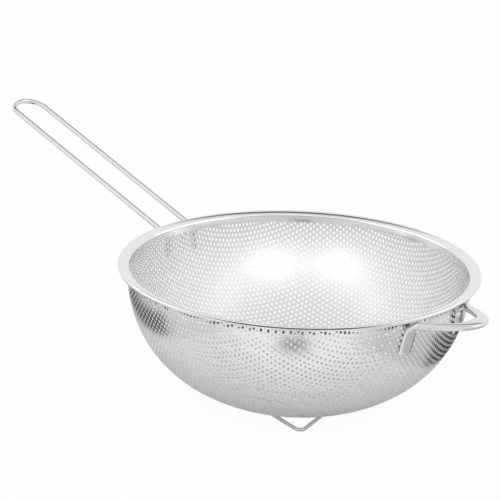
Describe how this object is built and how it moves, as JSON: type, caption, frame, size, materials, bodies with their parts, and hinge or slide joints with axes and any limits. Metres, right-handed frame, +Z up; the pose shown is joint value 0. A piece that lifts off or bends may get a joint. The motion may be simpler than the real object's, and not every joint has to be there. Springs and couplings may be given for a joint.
{
  "type": "colander",
  "caption": "Round perforated steel bowl strainer with a smooth rim ring, a long bent-wire handle, a wire helper loop opposite it and a triangular wire base.",
  "frame": {"origin": "on the standing surface, under the middle of the whole object's box", "axes": "+Z up, -X along the long handle, +X along the helper loop"},
  "size_m": [0.4374, 0.24, 0.1488],
  "materials": {
    "perforated_sheet": "bright perforated stainless steel sheet",
    "polished_steel": "polished stainless steel",
    "steel_wire": "polished stainless steel wire"
  },
  "bodies": {
    "root": {"bowl": "perforated_sheet", "rim": "polished_steel", "long_handle": "steel_wire", "helper_handle": "steel_wire", "wire_base": "steel_wire"}
  },
  "joints": []
}
